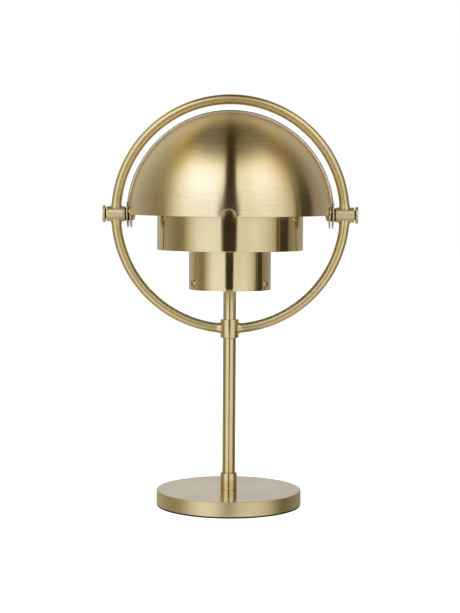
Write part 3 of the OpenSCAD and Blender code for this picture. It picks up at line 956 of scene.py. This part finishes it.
def addCylinder(name, radius, screwZ):
    low, high = span(name + "_cylinder", "z")
    tube = rod(name + "Cylinder", radius, low, high, 0, 288)
    edit(tube)
    choose('FACE', lambda f: abs(f.normal.z) > 0.9)
    bpy.ops.mesh.delete(type='FACE')
    for share in cylinders["cuts"]:
        bpy.ops.mesh.select_all(action='SELECT')
        bpy.ops.mesh.bisect(plane_co=(0, 0, low + (high - low) * share), plane_no=(0, 0, 1))
    endEdit()
    tube.data.materials.append(finish["cylinder_brass"])
    tube.data.materials.append(lacquer)
    thicken(tube, cylinders["wall"], 1)
    roundEdges(tube, cylinders["edge"])
    for angle in cylinders["screwAngles"]:
        spot = Matrix.Rotation(radians(angle), 4, 'Z') @ Vector((0, -radius, screwZ))
        bpy.ops.mesh.primitive_cylinder_add(vertices=32, radius=cylinders["screwRadius"], depth=0.01,
                                            location=spot, rotation=(pi / 2, 0, radians(angle)))
        carve(tube, bpy.context.object)
    smooth(tube, 34)
    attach(tube, "stand")
    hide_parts(name + "_cylinder")


def screwPiece(name, radius, screwZ):
    # A low round head with a hexagon socket, and its shank through the wall.
    sunk = cylinders["headSunk"]
    top = cylinders["headHeight"] + sunk
    screw = rod(name, cylinders["headRadius"], 0, top, 0, 48)
    edit(screw)
    choose('EDGE', lambda e: atHeight(e, top))
    bpy.ops.mesh.bevel(offset=cylinders["headEdge"], segments=5, affect='EDGES')
    choose('FACE', lambda f: f.normal.z < -0.9)
    bpy.ops.mesh.inset(thickness=cylinders["headRadius"] - cylinders["screwRadius"])
    move = (0, 0, -cylinders["screwLength"])
    bpy.ops.mesh.extrude_region_move(TRANSFORM_OT_translate={"value": move})
    endEdit()
    bpy.ops.mesh.primitive_cylinder_add(vertices=6, radius=cylinders["socketRadius"],
                                        depth=cylinders["socketDepth"] * 2, location=(0, 0, top))
    carve(screw, bpy.context.object)
    return settle(screw, (0, sunk - radius, screwZ), (pi / 2, 0, 0))


def addScrews(name, radius, screwZ):
    first = screwPiece(name + "CylinderScrews", radius, screwZ)
    copies = [copyOf(first, "screw") for angle in cylinders["screwAngles"][1:]]
    screws = [turned(one, angle) for one, angle in zip([first] + copies, cylinders["screwAngles"])]
    screws = joined(screws, name + "CylinderScrews")
    smooth(screws, 30)
    dress(screws, "stand", [name + "_cylinder_screws"], "fastener_brass")


for name in ("small", "large"):
    radius = furthest(name + "_cylinder", "y")
    screwZ = sum(span(name + "_cylinder_screws", "z")) / 2
    addCylinder(name, radius, screwZ)
    addScrews(name, radius, screwZ)
print("cylinders made")


bulb = {
    "neckRadius": 0.0125,
    "shoulderDrop": 0.62,   # where the globe turns into the neck, in shares of its radius
    "shoulderWidth": 0.78,
    "neckSteps": 8,
    "neckCurve": 1.6,
    "glass": 0.001,
}


def addBulb():
    low, high = span("bulb_globe", "z")
    radius = furthest("bulb_globe", "x")
    centre = (0, 0, high - radius)
    bpy.ops.mesh.primitive_uv_sphere_add(segments=96, ring_count=64, radius=radius, location=centre)
    globe = named("bulbGlobe")
    settle(globe)
    shoulderZ = high - radius - radius * bulb["shoulderDrop"]
    shoulder = radius * bulb["shoulderWidth"]
    edit(globe)
    choose('VERT', lambda v: v.co.z < shoulderZ)
    bpy.ops.mesh.delete(type='VERT')
    choose('VERT', lambda v: v.is_boundary)
    bpy.ops.mesh.select_mode(type='EDGE')
    steps = bulb["neckSteps"]
    drop = (0, 0, (low - shoulderZ) / steps)
    before = shoulder
    for step in range(1, steps + 1):
        left = (1 - step / steps) ** bulb["neckCurve"]
        width = bulb["neckRadius"] + (shoulder - bulb["neckRadius"]) * left
        bpy.ops.mesh.extrude_region_move(TRANSFORM_OT_translate={"value": drop})
        bpy.ops.transform.resize(value=(width / before, width / before, 1), center_override=centre)
        before = width
    bpy.ops.mesh.select_all(action='SELECT')
    bpy.ops.mesh.normals_make_consistent(inside=False)
    endEdit()
    thicken(globe, bulb["glass"])
    smooth(globe, 60)
    dress(globe, "stand", ["bulb_globe"], "opal_glass")


addBulb()
print("bulb made")


slotOf = {part["node"]: part["material_slot"] for part in frame["record"]["subparts"]}
for node, piece in frame["nodes"].items():
    piece.data.materials.clear()
    piece.data.materials.append(finish[slotOf[node]])
print("CAD parts dressed")


studio = {
    "floor": (0.86, 0.86, 0.86, 1),
    "radius": 3.2,
    # brightness round the lamp, by degrees from the camera, right positive: at its own height
    "low": (
        (-180, 0.58), (-172, 0.55), (-167, 0.38), (-152, 0.50), (-138, 0.52), (-110, 0.37),
        (-90, 0.26), (-77, 0.28), (-74, 0.38), (-70, 0.50), (-62, 0.78), (-50, 1.10), (-36, 1.18),
        (-20, 1.16), (0, 1.05), (20, 0.98), (40, 1.06), (58, 0.90), (70, 0.66), (76, 0.48),
        (78, 0.12), (80.5, 0.12), (83, 0.24), (85, 0.06), (101, 0.05), (106, 0.24), (112, 0.30),
        (130, 0.37), (150, 0.42), (166, 0.36), (172, 0.53), (180, 0.58),
    ),
    # and higher up
    "high": (
        (-180, 0.50), (-160, 0.60), (-140, 0.60), (-105, 0.38), (-90, 0.38), (-77, 0.72), (-60, 1.46),
        (-40, 1.80), (-22, 1.76), (0, 1.3), (20, 1.3), (36, 1.62), (52, 1.56), (66, 1.12), (80, 0.50),
        (95, 0.20), (115, 0.20), (130, 0.38), (150, 0.58), (180, 0.50),
    ),
    "change": (0.32, 0.72),   # heights, 0 level to 1 overhead, where the one turns into the other
    "top": (0.80, 0.94),      # where that fades into the ceiling
    "ceiling": 0.08,
    # the dark gap between the softboxes: height, then how far it reaches left and right
    "gap": (
        (0, 0.165, 0.163), (0.03, 0.195, 0.19), (0.12, 0.235, 0.22), (0.25, 0.205, 0.19),
        (0.4, 0.12, 0.14), (0.7, 0.065, 0.10), (1, 0.07, 0.11),
    ),
    "gapLevel": 0.03,
    "below": 0.58,
    "ambient": 0.95,
    "lampPower": 38,
    "lampAngles": (-38, 40),   # degrees from the camera, right positive
    "lampPlace": (0, -2.3, 1.5),
    "lampSize": (2.2, 1.8),
    "lampAim": (0, 0, 0.25),
}


def addWalls():
    # What the metal mirrors: two broad softboxes with a dark gap between them, and dimmer sides and back.
    size = studio["radius"]
    bpy.ops.mesh.primitive_uv_sphere_add(segments=96, ring_count=48, radius=size)
    walls = named("studioWalls")
    material = bpy.data.materials.new("studioWalls")
    material.use_nodes = True
    tree = material.node_tree
    tree.nodes.clear()
    place = Wire(tree, tree.nodes.new("ShaderNodeTexCoord").outputs["Object"])
    place = place.node("ShaderNodeVectorMath", {"operation": 'NORMALIZE'}, {0: place})
    split = place.node("ShaderNodeSeparateXYZ", None, {0: place}).out.node
    x, y, z = (Wire(tree, out) for out in split.outputs)
    around = place.maths('ARCTAN2', x, -1 * y) / (2 * pi) + 0.5
    bands = []
    for key in ("low", "high"):
        stops = [((angle + 180) / 360, (level, level, level, 1)) for angle, level in studio[key]]
        bands.append(place.node("ShaderNodeValToRGB", {"stops": stops}, {0: around}))
    level = place.mixed(fade(z, *studio["change"]), bands[0], bands[1])
    level = place.mixed(fade(z, *studio["top"]), level, studio["ceiling"])
    level = place.mixed(fade(-1 * z, 0.35, 0.9), level, studio["below"])
    stops = [(height, (left, right, 0, 1)) for height, left, right in studio["gap"]]
    edges = place.node("ShaderNodeValToRGB", {"stops": stops}, {0: z})
    edges = place.node("ShaderNodeSeparateXYZ", None, {0: edges}).out.node
    left, right = (Wire(tree, out) for out in edges.outputs[:2])
    soft = fade(z, 0.72, 0.97, 0.012, 0.075)
    gap = fade(x + left, -1 * soft, soft) * fade(right - x, -1 * soft, soft)
    gap = gap * fade(y, 0.1, 0.45, 1, 0) * fade(z, -0.30, -0.05, 0.6, 1)
    level = place.mixed(gap, level, studio["gapLevel"])
    # Bright places are a little cool, dim ones and the space overhead a little warm.
    behind = fade(y, -0.2, 0.7)
    above = fade(z, 0.5, 1.02)
    red = level * (1.19 - 0.205 * level - 0.05 * behind + 0.18 * above)
    blue = level * (0.68 + level * (0.17 + 0.22 * level) + 0.16 * behind) * (1 - 0.5 * above)
    glow = place.node("ShaderNodeCombineXYZ", None, {0: red, 1: level, 2: blue})
    light = place.node("ShaderNodeEmission", None, {"Color": glow, "Strength": 1.0})
    output = tree.nodes.new("ShaderNodeOutputMaterial")
    tree.links.new(light.out, output.inputs[0])
    walls.data.materials.append(material)
    walls.visible_camera = False
    walls.visible_diffuse = False
    walls.visible_shadow = False


def addFloor():
    bpy.ops.mesh.primitive_circle_add(vertices=96, radius=9, fill_type='NGON', location=(0, 0, 0))
    floor = named("floor")
    material, shader, place = newMaterial("floorPaper", {
        "Roughness": 0.9, "Specular IOR Level": 0.1, "Emission Strength": 0.35})
    fibre = noise(place, 300.0, 2.0)
    level = 1 + (fibre - 0.5) * 0.02
    feed(shader, "Base Color", tint(level, studio["floor"], level))
    shader.inputs["Emission Color"].default_value = (1, 1, 1, 1)
    floor.data.materials.append(material)
    floor.visible_glossy = False


def addLamps():
    for angle in studio["lampAngles"]:
        spot = Matrix.Rotation(radians(angle), 4, 'Z') @ Vector(studio["lampPlace"])
        bpy.ops.object.light_add(type='AREA', location=spot)
        lamp = bpy.context.object
        lamp.data.shape = 'RECTANGLE'
        lamp.data.size, lamp.data.size_y = studio["lampSize"]
        lamp.data.energy = studio["lampPower"]
        lamp.rotation_euler = (Vector(studio["lampAim"]) - spot).to_track_quat('-Z', 'Y').to_euler()
        lamp.visible_glossy = False


def setWorld():
    world = bpy.data.worlds.new("studio")
    bpy.context.scene.world = world
    world.use_nodes = True
    tree = world.node_tree
    tree.nodes.clear()
    path = tree.nodes.new("ShaderNodeLightPath")
    camera = Wire(tree, path.outputs["Is Camera Ray"])
    glossy = Wire(tree, path.outputs["Is Glossy Ray"])
    through = Wire(tree, path.outputs["Is Transmission Ray"])
    seen = camera.maths('MAXIMUM', camera.maths('MAXIMUM', camera, glossy), through)
    soft = camera.node("ShaderNodeBackground", None, {"Color": (1, 1, 1, 1), "Strength": studio["ambient"]})
    white = camera.node("ShaderNodeBackground", None, {"Color": (1, 1, 1, 1), "Strength": 1.0})
    mixed = camera.node("ShaderNodeMixShader", None, {0: seen, 1: soft, 2: white})
    output = tree.nodes.new("ShaderNodeOutputWorld")
    tree.links.new(mixed.out, output.inputs[0])


addWalls()
addFloor()
addLamps()
setWorld()
bpy.context.scene.view_settings.view_transform = 'Standard'
print("studio set")
